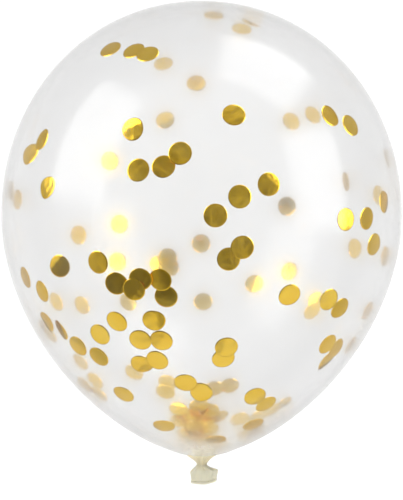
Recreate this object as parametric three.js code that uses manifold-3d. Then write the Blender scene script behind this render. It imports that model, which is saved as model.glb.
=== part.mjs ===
// A clear latex party balloon, blown up and pinched off at the neck, lying on its side.
// Millimetres, +Z up. The long axis lies along Y with the crown at +Y and the neck at -Y. The origin is the middle
// of the small flat spot that the balloon rests on, straight below its widest ring.

import * as THREE from 'three';
import { mergeVertices } from 'three/addons/utils/BufferGeometryUtils.js';
import Module from 'manifold-3d';

// Body
const BODY_WIDTH = 285; // across the widest ring
const CROWN_HEIGHT = 153; // from the widest ring to the crown
const BODY_DROP = 171.3; // from the widest ring to where the drop would close if it had no neck
const CROWN_FULLNESS = 2.05; // 2 is an ellipse, more is squarer
const DROP_FULLNESS = 1.85; // how long the drop keeps its width
const DROP_BLUNTNESS = 0.62; // how roundly the drop closes at the neck

// Neck and tail
const NECK_ROOT_WIDTH = 21; // where the body turns into the gathered funnel
const FUNNEL_LENGTH = 7.2; // from the neck root to the pinch
const PINCH_WIDTH = 6.6; // the tightest place
const TAIL_LENGTH = 14; // from the pinch to the end
const TAIL_SHOULDER_DROP = 6.4; // from the pinch to the tail's widest place
const TAIL_WIDTH = 19.8; // the tail is a squashed tube, wider than it is deep
const TAIL_DEPTH = 11;
const TAIL_SHIFT = 1.9; // the tail hangs a little to the +X side of the neck
const ROOT_RUN = 0.2; // share of the funnel that still follows the body's curve
const PINCH_RUN = 0.3; // share of the funnel that runs straight into the pinch
const FLARE_RUN = 0.4; // share of the tail's flare that runs straight at each of its ends
const LIP_WIDTH = 18.2; // across the rolled lip
const LIP_THICKNESS = 2.2; // the rolled lip's own diameter
const LIP_START_ANGLE = Math.PI / 4; // where the rolled lip leaves the tail's side

// Gathers
const GATHER_REACH = 52; // the width of body that the gathers still run into
const GATHER_DEPTH = 0.1; // as a share of the neck's own radius
const GATHER_COUNT = 8; // folds around the neck
const FINE_GATHER_COUNT = 5; // a second, weaker set that makes the folds uneven
const FINE_GATHER_SHARE = 0.5; // of the first set
const GATHER_TWIST = 0.05; // radians for each millimetre along the neck
const LIP_GATHER_SHARE = 0.35; // what is left of the folds at the lip

// Rest spot
const REST_SPOT_WIDTH = 40;

// Fineness of the faces
const SEGMENTS = 64;
const CROWN_RINGS = 17;
const DROP_RINGS = 18;
const FUNNEL_RINGS = 5;
const TAIL_RINGS = 6;
const LIP_RINGS = 5;
const MERGE_DISTANCE = 1e-4;

const bodyRadius = BODY_WIDTH / 2;
const rootRadius = NECK_ROOT_WIDTH / 2;
const pinchRadius = PINCH_WIDTH / 2;
const restDepth = bodyRadius - Math.sqrt(bodyRadius ** 2 - (REST_SPOT_WIDTH / 2) ** 2);
const axisHeight = bodyRadius - restDepth;

// The drop's distance from the widest ring where it has narrowed to a radius.
function dropAt(radius) {
  const narrowed = (radius / bodyRadius) ** (1 / DROP_BLUNTNESS);
  return BODY_DROP * (1 - narrowed) ** (1 / DROP_FULLNESS);
}

const rootY = -dropAt(rootRadius);
const pinchY = rootY - FUNNEL_LENGTH;
const shoulderY = pinchY - TAIL_SHOULDER_DROP;
const endY = pinchY - TAIL_LENGTH;

// The crown is a superellipse, from the pole down to the widest ring.
function crownOutline() {
  const points = [];
  for (let i = 0; i < CROWN_RINGS; i++) {
    const angle = (Math.PI / 2) * (1 - i / CROWN_RINGS);
    const radius = bodyRadius * Math.cos(angle) ** (2 / CROWN_FULLNESS);
    const y = CROWN_HEIGHT * Math.sin(angle) ** (2 / CROWN_FULLNESS);
    points.push(new THREE.Vector2(i === 0 ? 0 : radius, y));
  }
  return points;
}

// The drop runs from the widest ring down to the neck root, with its rings closer together near the neck.
function dropOutline() {
  const points = [];
  const share = -rootY / BODY_DROP;
  for (let i = 0; i < DROP_RINGS; i++) {
    const fall = share * Math.sin((Math.PI / 2) * (i / DROP_RINGS));
    const radius = bodyRadius * (1 - fall ** DROP_FULLNESS) ** DROP_BLUNTNESS;
    points.push(new THREE.Vector2(radius, -BODY_DROP * fall));
  }
  return points;
}

// The funnel and the tail are two hollow curves that meet at the pinch.
function neckOutline() {
  const funnel = new THREE.CubicBezierCurve(
    new THREE.Vector2(rootRadius, rootY),
    new THREE.Vector2(rootRadius * (1 - ROOT_RUN), rootY - FUNNEL_LENGTH * ROOT_RUN),
    new THREE.Vector2(pinchRadius, pinchY + FUNNEL_LENGTH * PINCH_RUN),
    new THREE.Vector2(pinchRadius, pinchY),
  );
  const tail = new THREE.CubicBezierCurve(
    new THREE.Vector2(pinchRadius, pinchY),
    new THREE.Vector2(pinchRadius, pinchY - TAIL_SHOULDER_DROP * FLARE_RUN),
    new THREE.Vector2(TAIL_WIDTH / 2, shoulderY + TAIL_SHOULDER_DROP * FLARE_RUN),
    new THREE.Vector2(TAIL_WIDTH / 2, shoulderY),
  );
  return [...funnel.getPoints(FUNNEL_RINGS), ...tail.getPoints(TAIL_RINGS).slice(1)];
}

// The rolled lip is a bead around the tail's end, and the end inside it is flat.
function lipOutline() {
  const points = [];
  const beadRadius = LIP_THICKNESS / 2;
  for (let i = 0; i <= LIP_RINGS; i++) {
    const angle = THREE.MathUtils.lerp(LIP_START_ANGLE, -Math.PI / 2, i / LIP_RINGS);
    const radius = LIP_WIDTH / 2 - beadRadius + beadRadius * Math.cos(angle);
    points.push(new THREE.Vector2(radius, endY + beadRadius + beadRadius * Math.sin(angle)));
  }
  points.push(new THREE.Vector2(0, endY));
  return points;
}

// The share of the full fold depth at a place on the outline.
function gatherShare(radius, y) {
  if (y >= rootY) {
    return THREE.MathUtils.clamp((GATHER_REACH / 2 - radius) / (GATHER_REACH / 2 - rootRadius), 0, 1);
  }
  return THREE.MathUtils.mapLinear(Math.min(y, pinchY), pinchY, endY, 1, LIP_GATHER_SHARE);
}

// Folds the neck, and squashes and shifts the tail.
function shapeNeck(geometry) {
  const position = geometry.attributes.position;
  for (let i = 0; i < position.count; i++) {
    const x = position.getX(i);
    const y = position.getY(i);
    const z = position.getZ(i);
    const radius = Math.hypot(x, z);
    const angle = Math.atan2(z, x);
    const turn = GATHER_TWIST * (y - pinchY);
    const folds = Math.cos(GATHER_COUNT * (angle + turn))
      + FINE_GATHER_SHARE * Math.cos(FINE_GATHER_COUNT * (angle - turn));
    const swell = y < 0 ? 1 + GATHER_DEPTH * gatherShare(radius, y) * folds : 1;
    const squash = THREE.MathUtils.smoothstep(pinchY - y, 0, TAIL_SHOULDER_DROP);
    const depth = THREE.MathUtils.lerp(1, TAIL_DEPTH / TAIL_WIDTH, squash);
    position.setXYZ(i, x * swell + TAIL_SHIFT * squash, y, z * swell * depth);
  }
}

function makeSolid(wasm, geometry) {
  geometry.deleteAttribute('normal');
  geometry.deleteAttribute('uv');
  const merged = mergeVertices(geometry, MERGE_DISTANCE);
  return new wasm.Manifold(new wasm.Mesh({
    numProp: 3,
    vertProperties: new Float32Array(merged.attributes.position.array),
    triVerts: new Uint32Array(merged.index.array),
  }));
}

// Everything below the floor plane, a little wider than the rest spot.
function floorCutter() {
  const cutter = new THREE.BoxGeometry(REST_SPOT_WIDTH * 2, REST_SPOT_WIDTH * 2, restDepth * 2);
  cutter.translate(0, 0, -restDepth);
  return cutter;
}

const wasm = await Module();
wasm.setup();

const outline = [...crownOutline(), ...dropOutline(), ...neckOutline(), ...lipOutline()];
const blown = new THREE.LatheGeometry(outline.reverse(), SEGMENTS);
shapeNeck(blown);
blown.translate(0, 0, axisHeight);
const rested = makeSolid(wasm, blown).subtract(makeSolid(wasm, floorCutter())).getMesh();

const geometry = new THREE.BufferGeometry();
geometry.setAttribute('position', new THREE.BufferAttribute(rested.vertProperties, 3));
geometry.setIndex(new THREE.BufferAttribute(rested.triVerts, 1));
geometry.computeVertexNormals();

const clearLatex = new THREE.MeshStandardMaterial({
  color: new THREE.Color(0.93, 0.925, 0.9),
  roughness: 0.12,
  metalness: 0,
  transparent: true,
  opacity: 0.4,
});
const balloon = new THREE.Mesh(geometry, clearLatex);
balloon.name = 'balloon';

const group = new THREE.Group();
group.add(balloon);

export default group;
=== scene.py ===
"""A clear latex party balloon with gold foil confetti inside, lying on its side on a pale floor."""

import math
import random

import bpy
import numpy as np
from bpy.props import FloatProperty, FloatVectorProperty, IntProperty, PointerProperty
from mathutils import Matrix, Vector
from mathutils.bvhtree import BVHTree


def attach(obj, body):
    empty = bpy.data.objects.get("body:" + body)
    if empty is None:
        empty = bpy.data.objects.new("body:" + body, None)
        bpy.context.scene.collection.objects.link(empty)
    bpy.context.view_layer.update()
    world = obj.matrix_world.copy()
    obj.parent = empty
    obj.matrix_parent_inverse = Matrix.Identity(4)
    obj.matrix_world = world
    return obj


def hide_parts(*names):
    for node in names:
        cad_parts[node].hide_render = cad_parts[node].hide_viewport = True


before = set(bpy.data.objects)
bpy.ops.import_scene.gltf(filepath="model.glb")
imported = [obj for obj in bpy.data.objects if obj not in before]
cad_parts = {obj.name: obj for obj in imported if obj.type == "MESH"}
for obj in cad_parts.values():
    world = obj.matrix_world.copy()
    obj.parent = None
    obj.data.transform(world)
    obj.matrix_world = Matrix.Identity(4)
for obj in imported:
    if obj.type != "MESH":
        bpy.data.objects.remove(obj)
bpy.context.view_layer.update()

bl_info = {
    "name": "Confetti Balloon",
    "version": (1, 0, 0),
    "blender": (4, 5, 0),
    "location": "3D View > Sidebar > Balloon",
    "description": "Models a clear latex balloon with gold foil confetti and its stage",
    "category": "Add Mesh",
}

# The photograph's height, its middle and the row of the balloon's widest ring, in pixels.
PHOTO_HEIGHT = 500
PHOTO_CENTRE = (201.5, 250.0)
WIDEST_RING_ROW = 217.0
SENSOR_WIDTH = 0.036

# Discs that cling to the wall nearer the camera, as places in the photograph.
# A disc that lies over another comes first.
NEAR_DISCS = (
    (110, 48.5), (147.5, 53.5), (133, 49), (215.5, 440.5), (131.5, 127.5), (41, 139), (28, 153.5),
    (180, 153), (163, 166), (138, 170), (234, 114.5), (331, 115), (351, 125), (45.5, 187.5),
    (215.5, 215.5), (240, 196.5), (269.5, 184), (242.5, 247.5), (229, 259.5), (384.5, 202),
    (346.5, 219.5), (367.5, 218.5), (375, 244.5), (57, 267), (97.5, 262.5), (25, 277.5),
    (41.5, 291.5), (115.5, 284), (133.5, 290), (139.5, 280), (159.5, 281), (165, 299),
    (290, 295.5), (329.5, 300), (340.5, 308.5), (116.5, 322), (153.5, 321), (99.5, 335),
    (46.5, 322), (59, 331.5), (77.5, 346.5), (98.5, 357), (140, 340.5), (161, 341.5),
    (157, 361), (141, 365.5), (226.5, 347.5), (223.5, 359), (328, 344.5), (337, 349),
    (327.5, 363), (185.5, 383), (201.5, 394), (123, 395), (255.5, 397.5), (266.5, 405),
    (253.5, 425), (163.5, 427),
)

# Discs that cling to the wall beyond, softened by the film in front of them.
# A disc that lies over another comes last.
FAR_DISCS = (
    (242, 27.5), (163, 62.5), (196, 82.5), (165, 119.5), (214, 14), (252, 21), (291.5, 121), (313.5, 114.5),
    (108.5, 160.5), (117, 262), (289.5, 271.5), (349, 181), (368.5, 311),
    (388.5, 158), (16.5, 199.5), (9.5, 190.5), (78, 235), (119, 224), (55.5, 302), (81.5, 305.5),
    (158, 265), (167.5, 257.5), (169, 268), (127.5, 302.5), (44, 328.5), (48, 335), (201, 243.5),
    (203, 302), (287.5, 206), (254.5, 284), (379, 195), (386, 256.5), (356, 249), (317.5, 301),
    (314, 312.5), (134, 372.5), (167.5, 383), (165, 393), (80, 362), (94.5, 381), (84, 385.5),
    (98, 395.5), (351.5, 345.5), (229.5, 386), (214, 389.5), (284, 404.5), (274, 413),
    (240, 420), (258.5, 418.5), (247, 434.5), (257, 432.5), (219, 418), (220, 445.5),
)

# Discs with a lean of their own, as degrees that the face turns to the photograph's right and to its top.
LEANING_DISCS = {
    (57, 267): (16, 6), (97.5, 262.5): (-3, -1), (115.5, 284): (3, 2), (153.5, 321): (-2.5, -5.5),
    (108.5, 160.5): (0, 13), (287.5, 206): (5, -8), (203, 302): (0, 3), (131.5, 127.5): (-7, 3),
    (269.5, 184): (2.7, 0), (234, 114.5): (0, 3), (138, 170): (-3, 1), (159.5, 281): (2, 4),
    (45.5, 187.5): (-11, -4), (331, 115): (10, 6), (375, 244.5): (-2, -1), (349, 181): (-22, 0),
    (116.5, 322): (-4.5, -5), (99.5, 335): (5, 4), (185.5, 383): (0, 4), (255.5, 397.5): (-3, 7),
    (77.5, 346.5): (4, 3),
}

# The loose heap above the neck, several discs deep on the wall beyond.
# A disc that lies over another comes last.
HEAP_DISCS = (
    (201, 440), (187, 436.5), (209, 432), (194, 430), (179.5, 424), (205, 422), (190, 417.5), (210, 414.5),
    (178, 413), (199, 410.5),
)

# How the outline is drawn. Rings are counted along it, and runs are shares of the stretch that they lie on.
CROWN_RINGS = 44
DROP_RINGS = 52
NECK_RINGS = 14
LIP_RINGS = 12
END_RINGS = 8
TURNED_STEPS = 144
ROOT_NARROWING = 0.8
ROOT_RUN = 0.2
PINCH_RUN = 0.3
SHOULDER_NARROWING = 0.96
SHOULDER_RUN = 0.32
GROOVE_RUN = 0.3
GROOVE_HEIGHT = 0.85  # above the tail's end, as a share of the lip's thickness
GROOVE_DEPTH = 0.7  # out from the lip's middle, as a share of the lip's own radius
LIP_START_ANGLE = math.pi / 4
LIP_TURN = math.pi * 0.75

# The gathers of the neck. Twists are radians for each metre along it, depths are shares of its own radius.
GATHER_REACH = 0.026  # radius of body that the gathers still run into
LIP_GATHER_SHARE = 0.35  # what is left of the gathers at the lip
GATHER_COUNT = 8
UNEVEN_GATHER_COUNT = 5  # a second, weaker set that makes the gathers uneven
UNEVEN_GATHER_SHARE = 0.5
GATHER_TWIST = 50.0
GATHER_DEPTH = 0.1
FINE_FOLD_COUNT = 21
FINE_FOLD_TWIST = 160.0
FINEST_FOLD_COUNT = 34
FINEST_FOLD_SHARE = 0.7
FINEST_FOLD_START = 1.3
FINE_FOLD_DEPTH = 0.022
RIDGE_COUNT = 5  # ridges around the tail
RIDGE_TWIST = 120.0
RIDGE_START = 0.6
RIDGE_MIDDLE = 0.6
RIDGE_DEPTH = 0.09

# The tail's end and the rest spot, in metres.
SLIT_DEPTH = 0.0007
SLIT_HALF_WIDTH = 0.0005
SLIT_FADE = 0.3
LIFT_START = 0.003  # how far to the side the tail's lifted corner starts
LIFT_SLOPE = 0.22
REST_SPOT_SOFTNESS = 0.0003
THICK_LATEX_START = 0.0004  # below the neck root
END_TOLERANCE = 1e-5
MERGE_DISTANCE = 1e-6

# How the looks of the latex change along the neck, in metres above the neck root or the pinch.
IVORY_RANGE = (-0.001, 0.02)
MILKY_RANGE = (-0.002, 0.048)
CREAM_RANGE = (0.008, 0.03)
CREAM_SIDE_RANGE = (0.005, 0.014)  # to either side of the long axis
# Where painted shade darkens the gathers around the pinch.
SHADE_ABOVE_PINCH_RANGE = (0.003, 0.014)
SHADE_BELOW_PINCH_RANGE = (-0.0022, 0.001)

# The film. Facing is 0 where it is seen squarely and 1 where it is seen along its surface.
# Where the tint darkens at a slant, partly for the longer path through latex and partly as painted shade.
SLANT_AND_SHADE_FACING = (0.0, 0.25)
# Where a painted rim sheen lightens the tint again.
RIM_SHEEN_FACING = (0.35, 0.85)
FILM_IOR = 1.3
FILM_ROUGHNESS = 0.05
HAZE_ROUGHNESS = 0.27
NECK_HAZE = 0.8
CREAM_SHARE = 0.45
CREAM_STREAKS = (1, 0.12, 1)  # the noise's scale along X, Y and Z, which draws it out along the axis
CREAM_FRINGE = 0.016  # how far the streaks reach, in metres

# The stage. Sides and distances are in metres, and softboxes are given as
# name, direction from the balloon, roll and swing in degrees, width, height and distance.
SOFTBOXES = (
    ("left softbox", (-0.77, 0.50, 0.365), 9, 12, 0.70, 0.49, 0.65),
    ("top softbox", (0.42, 0.89, 0.18), 2, 0, 0.50, 0.48, 0.65),
    ("right softbox", (0.87, 0.23, 0.46), -8, 0, 0.59, 0.47, 0.65),
)
FILL_PANEL = ("fill panel", (-0.35, -0.45, 0.82), 0, 0, 0.3, 0.3, 0.7)
PANEL_EDGE = (0.30, 0.5)  # where a panel's light fades, as shares of its side from its middle
GLOW_MIDDLE = (0, -0.38, 0)
GLOW_RANGE = (0.48, 0.9)
LIGHT_BOUNCES = 24
GLOSSY_BOUNCES = 8

# The room's light, by the height of a direction, which is 0 at the horizon and 1 overhead.
HORIZON_WAVER = 0.3  # how far noise shifts the height where the light of the horizon ends
HORIZON_RANGE = (0.54, 0.72)
OVERHEAD_RANGE = (0.40, 0.60)
OVERHEAD_PATCHES = (0.35, 0.65, 0.5, 1.6)  # a range of noise and the light that it gives
LOW_SLANT = -0.2
LOW_RANGE = (0.0, 0.14)
LOW_LIGHT = 0.54
DARK_SIDE_DIRECTION = (-0.62, -0.42, 0.66)
DARK_SIDE_RANGE = (0.80, 0.96)

# The making and placing of the discs. Lengths are in metres unless a line says otherwise.
DISC_SIDES = 36
DISC_BEND = (0.2, 0.8)  # share of the wall's curve that a disc takes on
CREASE_REACH = 0.5  # how far from the middle a crease lies at most, as a share of the radius
CREASE_SOFTNESS = 0.0006
SMOOTH_ANGLE = math.radians(40)
SLOPE_STEP = 0.0005
MARCH_BEFORE_AXIS = 0.18  # the camera's rays are followed from this far above the long axis
MARCH_STEP = 0.0005
MARCH_COUNT = 720
INWARD_ROUNDS = 6
INWARD_TOLERANCE = 1e-5
CLEARING_ROUNDS = 60
NEIGHBOUR_REACH = 1.2  # in disc widths


class BalloonSizes(bpy.types.PropertyGroup):
    body_width: FloatProperty(
        name="Body width", description="Across the widest ring", default=0.285, unit="LENGTH", precision=4)
    crown_height: FloatProperty(
        name="Crown height", description="From the widest ring to the crown", default=0.153, unit="LENGTH",
        precision=4)
    body_drop: FloatProperty(
        name="Body drop", description="From the widest ring to where the drop would close", default=0.1713,
        unit="LENGTH", precision=4)
    crown_fullness: FloatProperty(
        name="Crown fullness", description="2 is an ellipse, more is squarer", default=2.05)
    drop_fullness: FloatProperty(
        name="Drop fullness", description="How long the drop keeps its width", default=1.85)
    drop_bluntness: FloatProperty(
        name="Drop bluntness", description="How roundly the drop closes at the neck", default=0.62)
    neck_root_width: FloatProperty(
        name="Neck root width", description="Where the body turns into the funnel", default=0.021,
        unit="LENGTH", precision=4)
    funnel_length: FloatProperty(
        name="Funnel length", description="From the neck root to the pinch", default=0.0072, unit="LENGTH",
        precision=4)
    pinch_width: FloatProperty(
        name="Pinch width", description="The neck's tightest place", default=0.0066, unit="LENGTH",
        precision=4)
    tail_length: FloatProperty(
        name="Tail length", description="From the pinch to the end", default=0.014, unit="LENGTH",
        precision=4)
    tail_shoulder_drop: FloatProperty(
        name="Tail shoulder", description="From the pinch to the tail's widest place", default=0.0064,
        unit="LENGTH", precision=4)
    tail_width: FloatProperty(
        name="Tail width", description="Across the squashed tail", default=0.0198, unit="LENGTH", precision=4)
    tail_depth: FloatProperty(
        name="Tail depth", description="Through the squashed tail", default=0.011, unit="LENGTH", precision=4)
    tail_shift: FloatProperty(
        name="Tail shift", description="How far the tail hangs to one side", default=0.0019, unit="LENGTH",
        precision=4)
    lip_width: FloatProperty(
        name="Lip width", description="Across the rolled lip", default=0.0182, unit="LENGTH", precision=4)
    lip_thickness: FloatProperty(
        name="Lip thickness", description="The rolled lip's own diameter", default=0.0022, unit="LENGTH",
        precision=4)
    rest_spot_width: FloatProperty(
        name="Rest spot width", description="The flattened spot that it rests on", default=0.04,
        unit="LENGTH", precision=4)
    film_thickness: FloatProperty(
        name="Film thickness", description="The blown film's wall", default=0.00025, unit="LENGTH",
        precision=5)


class ConfettiSizes(bpy.types.PropertyGroup):
    disc_width: FloatProperty(
        name="Disc width", description="Across one foil disc", default=0.015, unit="LENGTH", precision=4)
    disc_thickness: FloatProperty(
        name="Disc thickness", description="Thickness of the foil", default=0.00012, unit="LENGTH",
        precision=5)
    turned_edge: FloatProperty(
        name="Turned edge", description="Width of the rim that the punch turned down", default=0.0004,
        unit="LENGTH", precision=5)
    edge_angle: FloatProperty(
        name="Edge angle", description="How far the punched rim is turned down", default=math.radians(34.0),
        unit="ROTATION")
    stacking_gap: FloatProperty(
        name="Stacking gap", description="Room kept between discs that lie over each other", default=0.0004,
        unit="LENGTH", precision=5)
    tilt: FloatProperty(
        name="Tilt", description="Most that a disc leans away from the wall", default=math.radians(4.0),
        unit="ROTATION")
    heap_tilt: FloatProperty(
        name="Heap tilt", description="Most that a disc of the heap leans", default=math.radians(10.0),
        unit="ROTATION")
    crease: FloatProperty(
        name="Crease", description="Most that a disc is folded across its middle", default=math.radians(20.0),
        unit="ROTATION")
    seed: IntProperty(name="Seed", description="Seed of the leans and creases", default=11)


class BalloonColours(bpy.types.PropertyGroup):
    clear_film: FloatVectorProperty(
        name="Clear film", description="Tint of the blown film, seen squarely", subtype="COLOR", size=3,
        default=(0.935, 0.935, 0.933), min=0, max=1)
    # Darker at a slant, partly for the longer path through latex and partly as painted shade.
    slanted_latex_and_shade: FloatVectorProperty(
        name="Slanted film", description="Tint of the blown film, seen at a slant through more latex",
        subtype="COLOR", size=3, default=(0.885, 0.885, 0.885), min=0, max=1)
    # A painted rim sheen: lighter where the film is seen nearly along its surface.
    rim_sheen: FloatVectorProperty(
        name="Rim film", description="Tint of the blown film, seen nearly along its surface", subtype="COLOR",
        size=3, default=(0.975, 0.975, 0.975), min=0, max=1)
    ivory_film: FloatVectorProperty(
        name="Ivory film", description="Tint where the film thickens to the neck", subtype="COLOR", size=3,
        default=(1.0, 0.985, 0.935), min=0, max=1)
    milky_film: FloatVectorProperty(
        name="Milky film", description="Thicker latex that spreads up from the neck", subtype="COLOR", size=3,
        default=(0.98, 0.93, 0.80), min=0, max=1)
    haze: FloatProperty(name="Haze", description="Share of the film that scatters light", default=0.32)
    thick_latex: FloatVectorProperty(
        name="Thick latex", description="The gathered neck and tail", subtype="COLOR", size=3,
        default=(0.99, 0.885, 0.56), min=0, max=1)
    # Painted shade in the tightest gathers around the pinch.
    pinch_shade: FloatVectorProperty(
        name="Gathered latex", description="The tightest gathers around the pinch", subtype="COLOR", size=3,
        default=(0.66, 0.545, 0.34), min=0, max=1)
    gold_light: FloatVectorProperty(
        name="Light gold", description="The foil's lighter patches", subtype="COLOR", size=3,
        default=(0.98, 0.69, 0.085), min=0, max=1)
    gold_deep: FloatVectorProperty(
        name="Deep gold", description="The foil's deeper patches", subtype="COLOR", size=3,
        default=(0.88, 0.53, 0.015), min=0, max=1)
    floor: FloatVectorProperty(
        name="Floor", description="The floor's own colour under its glow", subtype="COLOR", size=3,
        default=(0.08, 0.08, 0.08), min=0, max=1)


class StageSettings(bpy.types.PropertyGroup):
    camera_distance: FloatProperty(
        name="Camera distance", description="From the camera to the balloon's long axis", default=1.093,
        unit="LENGTH")
    pixel_pitch: FloatProperty(
        name="Pixel pitch", description="Width of one photograph pixel at the balloon's long axis",
        default=0.0007168, unit="LENGTH", precision=6)
    floor_width: FloatProperty(
        name="Floor width", description="Side of the floor", default=16.0, unit="LENGTH")
    floor_glow: FloatProperty(name="Floor glow", description="Light that the floor gives off", default=1.0)
    far_floor_glow: FloatProperty(
        name="Far floor glow", description="Light that the floor gives off a metre away", default=0.56)
    horizon_light: FloatProperty(
        name="Horizon light", description="Room light just above the horizon", default=1.15)
    zenith_light: FloatProperty(name="Zenith light", description="Room light overhead", default=0.41)
    dark_side: FloatProperty(
        name="Dark side", description="Room light left on the side without a softbox", default=0.36)
    softbox_light: FloatProperty(name="Softbox light", description="Brightness of the softboxes", default=3.8)
    fill_light: FloatProperty(
        name="Fill light", description="Brightness of the panel that lights matt latex", default=17.0)


# The balloon's outline

def axis_height(sizes):
    half = sizes.body_width / 2
    return math.sqrt(half ** 2 - (sizes.rest_spot_width / 2) ** 2)


def wall_radius(sizes, y):
    """The body's outer radius at a place along the long axis."""
    half = sizes.body_width / 2
    if y >= 0:
        share = min(y / sizes.crown_height, 1)
        return half * (1 - share ** sizes.crown_fullness) ** (1 / sizes.crown_fullness)
    share = min(-y / sizes.body_drop, 1)
    return half * (1 - share ** sizes.drop_fullness) ** sizes.drop_bluntness


def neck_places(sizes):
    """The neck root, pinch, shoulder and end, as places along the long axis."""
    narrowed = (sizes.neck_root_width / sizes.body_width) ** (1 / sizes.drop_bluntness)
    root = -sizes.body_drop * (1 - narrowed) ** (1 / sizes.drop_fullness)
    pinch = root - sizes.funnel_length
    return root, pinch, pinch - sizes.tail_shoulder_drop, pinch - sizes.tail_length


def bezier(start, start_handle, end_handle, end, steps):
    """Points of a cubic curve after its start, as (radius, y) pairs."""
    points = []
    for i in range(1, steps + 1):
        t = i / steps
        weights = ((1 - t) ** 3, 3 * t * (1 - t) ** 2, 3 * t ** 2 * (1 - t), t ** 3)
        corners = (start, start_handle, end_handle, end)
        points.append(tuple(sum(w * c[k] for w, c in zip(weights, corners)) for k in range(2)))
    return points


def film_outline(sizes):
    """The outline from the crown's pole to the middle of the tail's end, as (radius, y) pairs."""
    root, pinch, shoulder, end = neck_places(sizes)
    points = []
    for i in range(CROWN_RINGS):
        angle = math.pi / 2 * (1 - i / CROWN_RINGS)
        y = sizes.crown_height * math.sin(angle) ** (2 / sizes.crown_fullness)
        points.append((wall_radius(sizes, y) if i else 0, y))
    for i in range(DROP_RINGS):
        y = root * math.sin(math.pi / 2 * i / DROP_RINGS)
        points.append((wall_radius(sizes, y), y))
    half_root = sizes.neck_root_width / 2
    half_pinch = sizes.pinch_width / 2
    half_tail = sizes.tail_width / 2
    bead = sizes.lip_thickness / 2
    lip_middle = sizes.lip_width / 2 - bead
    points.append((half_root, root))
    points += bezier(
        points[-1], (half_root * ROOT_NARROWING, root - sizes.funnel_length * ROOT_RUN),
        (half_pinch, pinch + sizes.funnel_length * PINCH_RUN), (half_pinch, pinch), NECK_RINGS)
    points += bezier(
        points[-1], (half_pinch, pinch - sizes.tail_shoulder_drop * PINCH_RUN),
        (half_tail * SHOULDER_NARROWING, shoulder + sizes.tail_shoulder_drop * SHOULDER_RUN),
        (half_tail, shoulder), NECK_RINGS)
    groove = end + sizes.lip_thickness * GROOVE_HEIGHT
    groove_radius = lip_middle + bead * GROOVE_DEPTH
    groove_run = (shoulder - groove) * GROOVE_RUN
    points += bezier(
        points[-1], (half_tail, shoulder - groove_run), (groove_radius, groove + groove_run),
        (groove_radius, groove), NECK_RINGS // 2)
    for i in range(LIP_RINGS + 1):
        angle = LIP_START_ANGLE - LIP_TURN * i / LIP_RINGS
        points.append((lip_middle + bead * math.cos(angle), end + bead + bead * math.sin(angle)))
    for i in range(1, END_RINGS + 1):
        points.append((lip_middle * (1 - i / END_RINGS), end))
    return points


# Helpers

def deselect_all():
    if bpy.context.object and bpy.context.object.mode != "OBJECT":
        bpy.ops.object.mode_set(mode="OBJECT")
    bpy.ops.object.select_all(action="DESELECT")


def make_material(name):
    """A new material with its nodes, shader and a mapping that reads Object coordinates."""
    material = bpy.data.materials.new(name)
    material.use_nodes = True
    nodes = material.node_tree.nodes
    shader = nodes["Principled BSDF"]
    coordinates = nodes.new("ShaderNodeTexCoord")
    return material, nodes, material.node_tree.links, shader, coordinates.outputs["Object"]


def noise(nodes, links, place, scale, detail=2.0):
    node = nodes.new("ShaderNodeTexNoise")
    node.inputs["Scale"].default_value = scale
    node.inputs["Detail"].default_value = detail
    links.new(place, node.inputs["Vector"])
    return node.outputs["Fac"]


def mix_colours(nodes, links, share, first, second):
    node = nodes.new("ShaderNodeMix")
    node.data_type = "RGBA"
    links.new(share, node.inputs["Factor"])
    for socket, value in ((node.inputs["A"], first), (node.inputs["B"], second)):
        if isinstance(value, bpy.types.NodeSocket):
            links.new(value, socket)
        else:
            socket.default_value = (*value, 1)
    return node.outputs["Result"]


def map_range(nodes, links, value, low, high, to_low, to_high):
    """A value eased from one range to another."""
    node = nodes.new("ShaderNodeMapRange")
    node.interpolation_type = "SMOOTHSTEP"
    links.new(value, node.inputs["Value"])
    for name, number in (("From Min", low), ("From Max", high), ("To Min", to_low), ("To Max", to_high)):
        node.inputs[name].default_value = number
    return node.outputs["Result"]


def calculate(nodes, links, operation, *values, vector=False, output="Value"):
    """A Math node, or a Vector Math node, on sockets and plain values."""
    node = nodes.new("ShaderNodeVectorMath" if vector else "ShaderNodeMath")
    node.operation = operation
    for socket, value in zip(node.inputs, values):
        if isinstance(value, bpy.types.NodeSocket):
            links.new(value, socket)
        else:
            socket.default_value = value
    return node.outputs[output]


def separate(nodes, links, place):
    """The X, Y and Z outputs of a place."""
    node = nodes.new("ShaderNodeSeparateXYZ")
    links.new(place, node.inputs["Vector"])
    return node.outputs["X"], node.outputs["Y"], node.outputs["Z"]


def mix_lobes(nodes, links, share, first, second):
    node = nodes.new("ShaderNodeMixShader")
    links.new(share, node.inputs["Fac"])
    links.new(first, node.inputs[1])
    links.new(second, node.inputs[2])
    return node.outputs["Shader"]


def bump(nodes, links, shader, height, strength, distance):
    node = nodes.new("ShaderNodeBump")
    node.inputs["Strength"].default_value = strength
    node.inputs["Distance"].default_value = distance
    links.new(height, node.inputs["Height"])
    links.new(node.outputs["Normal"], shader.inputs["Normal"])


# Materials

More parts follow.
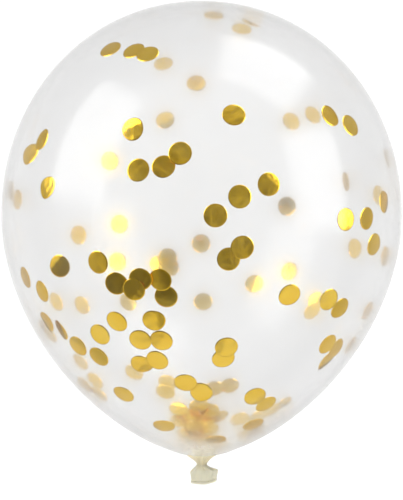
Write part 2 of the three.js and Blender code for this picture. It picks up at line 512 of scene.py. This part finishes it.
def clear_latex(sizes, colours):
    """Thin see-through film with a slight milky haze.

    It turns ivory where it thickens to the neck, with a streaked cream patch above the gathers. Its tint
    darkens at a slant, partly for the longer path through latex and partly as painted shade, and a painted
    rim sheen lightens it near the rim.
    """
    material, nodes, links, shader, place = make_material("clear_latex")
    root = neck_places(sizes)[0]
    x, y, _ = separate(nodes, links, place)
    near_neck = map_range(nodes, links, y, root + IVORY_RANGE[0], root + IVORY_RANGE[1], 1.0, 0.0)
    slant = nodes.new("ShaderNodeLayerWeight")
    slant.inputs["Blend"].default_value = 0.5
    # Painted shade in part: the tint darkens at a slant, partly for the longer path through latex.
    slant_and_shade_share = map_range(nodes, links, slant.outputs["Facing"], *SLANT_AND_SHADE_FACING, 0.0, 1.0)
    film = mix_colours(nodes, links, slant_and_shade_share, colours.clear_film, colours.slanted_latex_and_shade)
    # A painted rim sheen, lighter where the film is seen nearly along its surface.
    rim_sheen_share = map_range(nodes, links, slant.outputs["Facing"], *RIM_SHEEN_FACING, 0.0, 1.0)
    film = mix_colours(nodes, links, rim_sheen_share, film, colours.rim_sheen)
    tint = mix_colours(nodes, links, near_neck, film, colours.ivory_film)
    haze = nodes.new("ShaderNodeBsdfPrincipled")
    for lobe, roughness in ((shader, FILM_ROUGHNESS), (haze, HAZE_ROUGHNESS)):
        links.new(tint, lobe.inputs["Base Color"])
        lobe.inputs["Transmission Weight"].default_value = 1.0
        lobe.inputs["Roughness"].default_value = roughness
        lobe.inputs["IOR"].default_value = FILM_IOR
    milky = map_range(
        nodes, links, y, root + MILKY_RANGE[0], root + MILKY_RANGE[1], NECK_HAZE, colours.haze)
    both = mix_lobes(nodes, links, milky, shader.outputs["BSDF"], haze.outputs["BSDF"])

    thicker = nodes.new("ShaderNodeBsdfPrincipled")
    thicker.inputs["Base Color"].default_value = (*colours.milky_film, 1)
    thicker.inputs["Roughness"].default_value = 0.3
    stretched = calculate(nodes, links, "MULTIPLY", place, CREAM_STREAKS, vector=True, output="Vector")
    streaks = noise(nodes, links, stretched, 420.0)
    fringed = calculate(nodes, links, "MULTIPLY_ADD", streaks, CREAM_FRINGE, y)
    fading = map_range(
        nodes, links, fringed, root + CREAM_RANGE[0], root + CREAM_RANGE[1], CREAM_SHARE, 0.0)
    aside = calculate(nodes, links, "ABSOLUTE", x)
    in_middle = map_range(nodes, links, aside, *CREAM_SIDE_RANGE, 1.0, 0.0)
    cream = calculate(nodes, links, "MULTIPLY", fading, in_middle)
    all_three = mix_lobes(nodes, links, cream, both, thicker.outputs["BSDF"])
    links.new(all_three, nodes["Material Output"].inputs["Surface"])
    return material


def thick_latex(sizes, colours):
    """Ivory latex of the neck and tail, waxy and slightly glossy, with painted shade darkening the gathers
    around the pinch.
    """
    material, nodes, links, shader, place = make_material("thick_latex")
    pinch = neck_places(sizes)[1]
    y = separate(nodes, links, place)[1]
    shade_above_pinch = map_range(
        nodes, links, y, pinch + SHADE_ABOVE_PINCH_RANGE[0], pinch + SHADE_ABOVE_PINCH_RANGE[1], 1.0, 0.0)
    shade_below_pinch = map_range(
        nodes, links, y, pinch + SHADE_BELOW_PINCH_RANGE[0], pinch + SHADE_BELOW_PINCH_RANGE[1], 0.0, 1.0)
    # Painted shade that darkens the gathers around the pinch.
    gathered = calculate(nodes, links, "MULTIPLY", shade_above_pinch, shade_below_pinch)
    mottle = noise(nodes, links, place, 160.0, 3.0)
    deep = tuple(c * s for c, s in zip(colours.thick_latex, (0.96, 0.95, 0.91)))
    smooth = mix_colours(nodes, links, mottle, colours.thick_latex, deep)
    tone = mix_colours(nodes, links, gathered, smooth, colours.pinch_shade)
    links.new(tone, shader.inputs["Base Color"])
    shader.inputs["Subsurface Weight"].default_value = 0.6
    shader.inputs["Subsurface Radius"].default_value = (1.0, 0.8, 0.5)
    shader.inputs["Subsurface Scale"].default_value = 0.004
    shader.inputs["Transmission Weight"].default_value = 0.15
    shader.inputs["Roughness"].default_value = 0.3
    bump(nodes, links, shader, noise(nodes, links, place, 600.0, 2.0), 0.15, 0.0002)
    return material


def gold_foil(colours):
    """Bright gold foil, slightly crumpled, with slight changes of tone from place to place."""
    material, nodes, links, shader, place = make_material("gold_foil")
    patches = noise(nodes, links, place, 45.0, 1.0)
    tone = mix_colours(nodes, links, patches, colours.gold_deep, colours.gold_light)
    links.new(tone, shader.inputs["Base Color"])
    shader.inputs["Roughness"].default_value = 0.1
    shader.inputs["Metallic"].default_value = 1.0
    shader.inputs["Specular Tint"].default_value = (0.3, 0.22, 0.14, 1)
    bump(nodes, links, shader, noise(nodes, links, place, 130.0, 1.5), 0.8, 0.0004)
    return material


def pale_floor(colours, stage):
    material, nodes, links, shader, place = make_material("pale_floor")
    grain = noise(nodes, links, place, 3.0, 2.0)
    dimmed = tuple(c * 0.99 for c in colours.floor)
    links.new(mix_colours(nodes, links, grain, colours.floor, dimmed), shader.inputs["Base Color"])
    shader.inputs["Roughness"].default_value = 0.9
    shader.inputs["Emission Color"].default_value = (1, 1, 1, 1)
    away = calculate(nodes, links, "DISTANCE", place, GLOW_MIDDLE, vector=True)
    glow = map_range(nodes, links, away, *GLOW_RANGE, stage.floor_glow, stage.far_floor_glow)
    links.new(glow, shader.inputs["Emission Strength"])
    return material


# Shaping the film

def shape_neck(points, sizes):
    """Folds the neck, squashes and shifts the tail, and presses a closed slit into its end."""
    root, pinch, shoulder, end = neck_places(sizes)
    x, y, z = points[:, 0], points[:, 1], points[:, 2]
    radius = np.hypot(x, z)
    angle = np.arctan2(z, x)
    body_share = np.clip((GATHER_REACH - radius) / (GATHER_REACH - sizes.neck_root_width / 2), 0, 1)
    neck_share = np.interp(np.minimum(y, pinch), (end, pinch), (LIP_GATHER_SHARE, 1.0))
    share = np.where(y >= root, body_share, neck_share) * (y < 0)
    turn = GATHER_TWIST * (y - pinch)
    folds = np.cos(GATHER_COUNT * (angle + turn))
    folds += UNEVEN_GATHER_SHARE * np.cos(UNEVEN_GATHER_COUNT * (angle - turn))
    fine = np.cos(FINE_FOLD_COUNT * angle + FINE_FOLD_TWIST * (y - pinch))
    fine += FINEST_FOLD_SHARE * np.cos(FINEST_FOLD_COUNT * angle + FINEST_FOLD_START)
    swell = 1 + share * (GATHER_DEPTH * folds + FINE_FOLD_DEPTH * fine)
    t = np.clip((pinch - y) / sizes.tail_shoulder_drop, 0, 1)
    squash = t * t * (3 - 2 * t)
    above_lip = np.clip((y - end) / sizes.lip_thickness - 1, 0, 1)
    ridges = RIDGE_MIDDLE - np.abs(np.sin(RIDGE_COUNT / 2 * angle + RIDGE_TWIST * (y - pinch) + RIDGE_START))
    swell += RIDGE_DEPTH * t * above_lip * ridges
    depth = 1 + (sizes.tail_depth / sizes.tail_width - 1) * squash
    points[:, 0] = x * swell + sizes.tail_shift * squash
    points[:, 2] = z * swell * depth
    on_end = y < end + END_TOLERANCE
    across_slit = np.exp(-(points[:, 2] / SLIT_HALF_WIDTH) ** 2)
    along_slit = np.clip(1 - radius / (sizes.lip_width / 2), 0, 1) ** SLIT_FADE
    slit = SLIT_DEPTH * across_slit * along_slit
    lifted_side = LIFT_SLOPE * np.clip(points[:, 0] - LIFT_START, 0, None) * squash
    points[:, 1] = np.where(on_end, y + slit, y) + lifted_side


def flatten_rest_spot(points):
    """Presses what would reach below the floor flat, with a soft edge."""
    z = points[:, 2]
    points[:, 2] = (z + np.sqrt(z * z + REST_SPOT_SOFTNESS * REST_SPOT_SOFTNESS)) / 2


class CONFETTIBALLOON_OT_film(bpy.types.Operator):
    """Model the blown film with its gathered neck, squashed tail and rolled lip"""
    bl_idname = "confetti_balloon.film"
    bl_label = "Blown Film"

    def execute(self, context):
        sizes = context.scene.balloon_sizes
        colours = context.scene.balloon_colours
        height = axis_height(sizes)
        outline = film_outline(sizes)
        deselect_all()
        bpy.ops.mesh.primitive_plane_add(size=0.01, location=(0, 0, height))
        film = context.object
        film.name = film.data.name = "balloon_film"
        bpy.ops.object.mode_set(mode="EDIT")
        bpy.ops.mesh.select_mode(type="VERT")
        bpy.ops.mesh.select_all(action="SELECT")
        bpy.ops.mesh.merge(type="CENTER")
        bpy.ops.transform.translate(value=(outline[0][0], outline[0][1], 0))
        for (from_radius, from_y), (to_radius, to_y) in zip(outline, outline[1:]):
            step = (to_radius - from_radius, to_y - from_y, 0)
            bpy.ops.mesh.extrude_vertices_move(TRANSFORM_OT_translate={"value": step})
        bpy.ops.mesh.select_all(action="SELECT")
        bpy.ops.mesh.spin(steps=TURNED_STEPS, angle=math.tau, center=(0, 0, height), axis=(0, 1, 0))
        bpy.ops.mesh.select_all(action="SELECT")
        bpy.ops.mesh.remove_doubles(threshold=MERGE_DISTANCE)
        bpy.ops.mesh.normals_make_consistent(inside=False)
        bpy.ops.object.mode_set(mode="OBJECT")
        bpy.ops.object.transform_apply(location=True, rotation=True, scale=True)

        points = np.empty(len(film.data.vertices) * 3)
        film.data.vertices.foreach_get("co", points)
        points = points.reshape(-1, 3)
        points[:, 2] -= height
        shape_neck(points, sizes)
        points[:, 2] += height
        flatten_rest_spot(points)
        film.data.vertices.foreach_set("co", points.ravel())
        film.data.update()

        wall = film.modifiers.new("Wall", "SOLIDIFY")
        wall.thickness = sizes.film_thickness
        wall.offset = -1
        bpy.ops.object.modifier_apply(modifier=wall.name)
        bpy.ops.object.shade_smooth()

        film.data.materials.append(clear_latex(sizes, colours))
        film.data.materials.append(thick_latex(sizes, colours))
        neck_start = neck_places(sizes)[0] - THICK_LATEX_START
        for face in film.data.polygons:
            face.material_index = 1 if face.center.y < neck_start else 0
        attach(film, "root")
        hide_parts("balloon")
        return {"FINISHED"}


# Placing the discs

def eye(stage, sizes):
    """The camera's place, straight above the photograph's middle."""
    middle_y = -(PHOTO_CENTRE[1] - WIDEST_RING_ROW) * stage.pixel_pitch
    return Vector((0, middle_y, axis_height(sizes) + stage.camera_distance))


def depth_inside(sizes, point, clearance):
    """How far a point lies inside the film's outer face, less a clearance. Negative is too far out."""
    centre_height = axis_height(sizes)
    radius = math.hypot(point.x, point.z - centre_height)
    y = max(min(point.y, sizes.crown_height - SLOPE_STEP), -sizes.body_drop + SLOPE_STEP)
    rise = wall_radius(sizes, y + SLOPE_STEP / 2) - wall_radius(sizes, y - SLOPE_STEP / 2)
    slope = rise / SLOPE_STEP
    across = (wall_radius(sizes, y) - radius) / math.sqrt(1 + slope * slope)
    return min(across, point.z) - clearance


def wall_normal(sizes, point):
    """The direction out through the film nearest a point."""
    here = depth_inside(sizes, point, 0)
    beside = [point + Vector(axis) * SLOPE_STEP for axis in Matrix.Identity(3)]
    return Vector([here - depth_inside(sizes, place, 0) for place in beside]).normalized()


def place_on_wall(sizes, stage, pixel, far, clearance):
    """Where the camera's ray through a pixel keeps a clearance from the nearer or the farther wall."""
    start = eye(stage, sizes)
    across = (pixel[0] - PHOTO_CENTRE[0]) * stage.pixel_pitch
    along = -(pixel[1] - PHOTO_CENTRE[1]) * stage.pixel_pitch
    ray = Vector((across, along, -stage.camera_distance)).normalized()
    first_mark = stage.camera_distance - MARCH_BEFORE_AXIS
    marks = [first_mark + MARCH_STEP * i for i in range(MARCH_COUNT)]
    inside = [mark for mark in marks if depth_inside(sizes, start + ray * mark, clearance) > 0]
    if not inside:
        raise RuntimeError(f"the ray through {pixel} misses the balloon")
    return start + ray * (inside[-1] if far else inside[0])


def make_blank_disc(confetti):
    """One flat foil disc with rings of faces, so that it can bend."""
    deselect_all()
    bpy.ops.mesh.primitive_circle_add(
        vertices=DISC_SIDES, radius=confetti.disc_width / 2, fill_type="NGON")
    disc = bpy.context.object
    bpy.ops.object.mode_set(mode="EDIT")
    bpy.ops.mesh.select_mode(type="FACE")
    bpy.ops.mesh.select_all(action="SELECT")
    ring = confetti.disc_width / 10
    for thickness in (confetti.turned_edge, confetti.turned_edge, ring, ring, ring):
        bpy.ops.mesh.inset(thickness=thickness)
    bpy.ops.mesh.poke()
    bpy.ops.object.mode_set(mode="OBJECT")
    foil = disc.modifiers.new("Foil", "SOLIDIFY")
    foil.thickness = confetti.disc_thickness
    foil.offset = 0
    bpy.ops.object.modifier_apply(modifier=foil.name)
    return disc


def bend_disc(points, rng, confetti, hollow):
    """Turns a disc's punched rim down, bends the disc to the wall and folds it a little along one line.

    The wall falls away by its hollow times the square of the distance.
    """
    radius = confetti.disc_width / 2
    on_rim = np.clip(np.hypot(points[:, 0], points[:, 1]) - radius + confetti.turned_edge, 0, None)
    points[:, 2] -= on_rim * math.tan(confetti.edge_angle)
    bend_angle = rng.uniform(0, math.pi)
    along = points[:, 0] * math.cos(bend_angle) + points[:, 1] * math.sin(bend_angle)
    points[:, 2] -= hollow * along ** 2 * rng.uniform(*DISC_BEND)
    fold_angle = rng.uniform(0, math.tau)
    fold_place = rng.uniform(-CREASE_REACH, CREASE_REACH) * radius
    fold = math.tan(confetti.crease * rng.uniform(0, 1) ** 2)
    beyond = points[:, 0] * math.cos(fold_angle) + points[:, 1] * math.sin(fold_angle) - fold_place
    points[:, 2] -= fold * (beyond + np.sqrt(beyond ** 2 + CREASE_SOFTNESS ** 2)) / 2


def bring_inside(world, outward, sizes, kept):
    """Moves a disc in until every third point of it keeps its distance from the film."""
    for _ in range(INWARD_ROUNDS):
        shortfall = min(depth_inside(sizes, Vector(point), kept) for point in world[::3])
        if shortfall > -INWARD_TOLERANCE:
            break
        world += outward * shortfall


def clear_neighbours(world, outward, faces, neighbours, step):
    """Moves a disc in until it cuts through no neighbour, and returns its tree of faces."""
    for _ in range(CLEARING_ROUNDS):
        tree = BVHTree.FromPolygons(world.tolist(), faces)
        if not any(tree.overlap(other) for other in neighbours):
            break
        world -= outward * step
    return tree


class CONFETTIBALLOON_OT_confetti(bpy.types.Operator):
    """Model the foil discs where they cling to the inside of the film"""
    bl_idname = "confetti_balloon.confetti"
    bl_label = "Foil Confetti"

    def execute(self, context):
        sizes = context.scene.balloon_sizes
        confetti = context.scene.confetti_sizes
        stage = context.scene.balloon_stage
        foil = gold_foil(context.scene.balloon_colours)
        rng = random.Random(confetti.seed)
        blank = make_blank_disc(confetti)
        corners = np.empty(len(blank.data.vertices) * 3)
        blank.data.vertices.foreach_get("co", corners)
        corners = corners.reshape(-1, 3)
        faces = [tuple(face.vertices) for face in blank.data.polygons]
        clearance = sizes.film_thickness + confetti.stacking_gap
        reach = confetti.disc_width * NEIGHBOUR_REACH
        placed = []
        places = [(pixel, False, confetti.tilt) for pixel in NEAR_DISCS]
        places += [(pixel, True, confetti.tilt) for pixel in FAR_DISCS]
        places += [(pixel, True, confetti.heap_tilt) for pixel in HEAP_DISCS]
        for number, (pixel, far, tilt) in enumerate(places, start=1):
            middle = place_on_wall(sizes, stage, pixel, far, clearance)
            under = [layer for other, layer, _ in placed if (other - middle).length < confetti.disc_width]
            layer = max(under) + 1 if under else 0
            disc = blank.copy()
            disc.data = blank.data.copy()
            disc.name = disc.data.name = f"confetti_{number:03d}"
            context.collection.objects.link(disc)
            points = corners.copy()
            bend_disc(points, rng, confetti, 1 / sizes.body_width)
            outward = wall_normal(sizes, middle)
            turn = outward.to_track_quat("Z", "Y").to_matrix()
            to_right, to_top = (math.radians(angle) for angle in LEANING_DISCS.get(pixel, (0, 0)))
            turn = Matrix.Rotation(to_right, 3, "Y") @ Matrix.Rotation(-to_top, 3, "X") @ turn
            heading = rng.uniform(0, math.tau)
            hinge = Vector((math.cos(heading), math.sin(heading), 0))
            lean = Matrix.Rotation(rng.uniform(0, tilt), 3, hinge)
            spin = Matrix.Rotation(rng.uniform(0, math.tau), 3, "Z")
            world = points @ np.array(turn @ lean @ spin).T + np.array(middle)
            outward = np.array(outward)
            bring_inside(world, outward, sizes, clearance + layer * confetti.stacking_gap)
            neighbours = [tree for other, _, tree in placed if (other - middle).length < reach]
            tree = clear_neighbours(world, outward, faces, neighbours, confetti.stacking_gap / 2)
            placed.append((middle, layer, tree))
            disc.data.vertices.foreach_set("co", world.ravel())
            disc.data.update()
            disc.data.materials.append(foil)
            deselect_all()
            disc.select_set(True)
            context.view_layer.objects.active = disc
            bpy.ops.object.shade_smooth_by_angle(angle=SMOOTH_ANGLE)
            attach(disc, "root")
        bpy.data.objects.remove(blank)
        return {"FINISHED"}


# The stage

def add_softbox(name, direction, roll, swing, width, height, distance, centre, brightness):
    """A panel light with soft edges that the camera doesn't see. It faces the balloon, but for its swing."""
    data = bpy.data.lights.new(name, "AREA")
    data.shape = "RECTANGLE"
    data.size = width
    data.size_y = height
    data.energy = brightness * math.pi * width * height
    data.use_nodes = True
    nodes = data.node_tree.nodes
    links = data.node_tree.links
    place = nodes.new("ShaderNodeNewGeometry")
    shares = []
    for along in separate(nodes, links, place.outputs["Parametric"])[:2]:
        off_middle = calculate(nodes, links, "SUBTRACT", along, 0.5)
        distance_out = calculate(nodes, links, "ABSOLUTE", off_middle)
        shares.append(map_range(nodes, links, distance_out, *PANEL_EDGE, 1.0, 0.0))
    both = calculate(nodes, links, "MULTIPLY", *shares)
    links.new(both, nodes["Emission"].inputs["Strength"])
    light = bpy.data.objects.new(name, data)
    direction = Vector(direction).normalized()
    light.location = centre + direction * distance
    facing = direction.to_track_quat("Z", "Y").to_matrix()
    rolled = facing @ Matrix.Rotation(math.radians(roll), 3, "Z")
    light.rotation_euler = (rolled @ Matrix.Rotation(math.radians(swing), 3, "Y")).to_euler()
    light.visible_camera = False
    bpy.context.collection.objects.link(light)
    return light


def light_room(scene, stage):
    """Room light that is brightest at a wavering horizon, patchy overhead and dim on one side."""
    world = bpy.data.worlds.new("Room")
    scene.world = world
    world.use_nodes = True
    nodes = world.node_tree.nodes
    links = world.node_tree.links
    direction = nodes.new("ShaderNodeTexCoord").outputs["Generated"]
    _, y, z = separate(nodes, links, direction)
    waver = noise(nodes, links, direction, 3.5, detail=1.0)
    wavering = calculate(nodes, links, "MULTIPLY_ADD", waver, HORIZON_WAVER, z)
    strength = map_range(nodes, links, wavering, *HORIZON_RANGE, stage.horizon_light, stage.zenith_light)
    overhead = map_range(nodes, links, z, *OVERHEAD_RANGE, 0.0, 1.0)
    patches = map_range(nodes, links, noise(nodes, links, direction, 8.0), *OVERHEAD_PATCHES)
    lifted = calculate(nodes, links, "MULTIPLY_ADD", y, LOW_SLANT, z)
    low = map_range(nodes, links, lifted, *LOW_RANGE, LOW_LIGHT, 1.0)
    links.new(mix_colours(nodes, links, overhead, low, patches), nodes["Background"].inputs["Color"])
    towards = calculate(nodes, links, "DOT_PRODUCT", direction, DARK_SIDE_DIRECTION, vector=True)
    darker = map_range(nodes, links, towards, *DARK_SIDE_RANGE, 1.0, stage.dark_side)
    dimmed = calculate(nodes, links, "MULTIPLY", strength, darker)
    links.new(dimmed, nodes["Background"].inputs["Strength"])


def add_camera(scene, stage, sizes):
    """A camera straight above the balloon, framed as the photograph is."""
    data = bpy.data.cameras.new("Camera")
    camera = bpy.data.objects.new("Camera", data)
    bpy.context.collection.objects.link(camera)
    camera.location = eye(stage, sizes)
    data.sensor_width = SENSOR_WIDTH * 1000
    data.lens = SENSOR_WIDTH * 1000 * stage.camera_distance / (PHOTO_HEIGHT * stage.pixel_pitch)
    scene.camera = camera


class CONFETTIBALLOON_OT_stage(bpy.types.Operator):
    """Set the pale floor, room light, softboxes and camera"""
    bl_idname = "confetti_balloon.stage"
    bl_label = "Floor, Lights and Camera"

    def execute(self, context):
        scene = context.scene
        sizes = scene.balloon_sizes
        stage = scene.balloon_stage
        deselect_all()
        bpy.ops.mesh.primitive_plane_add(size=stage.floor_width, location=(0, 0, 0))
        floor = context.object
        floor.name = floor.data.name = "floor"
        floor.data.materials.append(pale_floor(scene.balloon_colours, stage))

        light_room(scene, stage)
        centre = Vector((0, 0, axis_height(sizes)))
        for softbox in SOFTBOXES:
            add_softbox(*softbox, centre, stage.softbox_light)
        fill = add_softbox(*FILL_PANEL, centre, stage.fill_light)
        fill.visible_glossy = False
        fill.visible_transmission = False

        add_camera(scene, stage, sizes)
        scene.view_settings.view_transform = "Standard"
        scene.cycles.max_bounces = LIGHT_BOUNCES
        scene.cycles.transmission_bounces = LIGHT_BOUNCES
        scene.cycles.glossy_bounces = GLOSSY_BOUNCES
        return {"FINISHED"}


class CONFETTIBALLOON_PT_panel(bpy.types.Panel):
    bl_label = "Confetti Balloon"
    bl_idname = "CONFETTIBALLOON_PT_panel"
    bl_space_type = "VIEW_3D"
    bl_region_type = "UI"
    bl_category = "Balloon"

    def draw(self, context):
        layout = self.layout
        for group in (
            context.scene.balloon_sizes,
            context.scene.confetti_sizes,
            context.scene.balloon_colours,
            context.scene.balloon_stage,
        ):
            column = layout.column(align=True)
            for name in group.bl_rna.properties.keys():
                if name not in ("rna_type", "name"):
                    column.prop(group, name)
        for operator in OPERATORS:
            layout.operator(operator.bl_idname)


GROUPS = (BalloonSizes, ConfettiSizes, BalloonColours, StageSettings)
OPERATORS = (CONFETTIBALLOON_OT_film, CONFETTIBALLOON_OT_confetti, CONFETTIBALLOON_OT_stage)


def register():
    for item in (*GROUPS, *OPERATORS, CONFETTIBALLOON_PT_panel):
        bpy.utils.register_class(item)
    bpy.types.Scene.balloon_sizes = PointerProperty(type=BalloonSizes)
    bpy.types.Scene.confetti_sizes = PointerProperty(type=ConfettiSizes)
    bpy.types.Scene.balloon_colours = PointerProperty(type=BalloonColours)
    bpy.types.Scene.balloon_stage = PointerProperty(type=StageSettings)


def unregister():
    del bpy.types.Scene.balloon_stage
    del bpy.types.Scene.balloon_colours
    del bpy.types.Scene.confetti_sizes
    del bpy.types.Scene.balloon_sizes
    for item in reversed((*GROUPS, *OPERATORS, CONFETTIBALLOON_PT_panel)):
        bpy.utils.unregister_class(item)


def main():
    register()
    bpy.ops.confetti_balloon.film()
    bpy.ops.confetti_balloon.confetti()
    bpy.ops.confetti_balloon.stage()


if __name__ == "__main__":
    main()
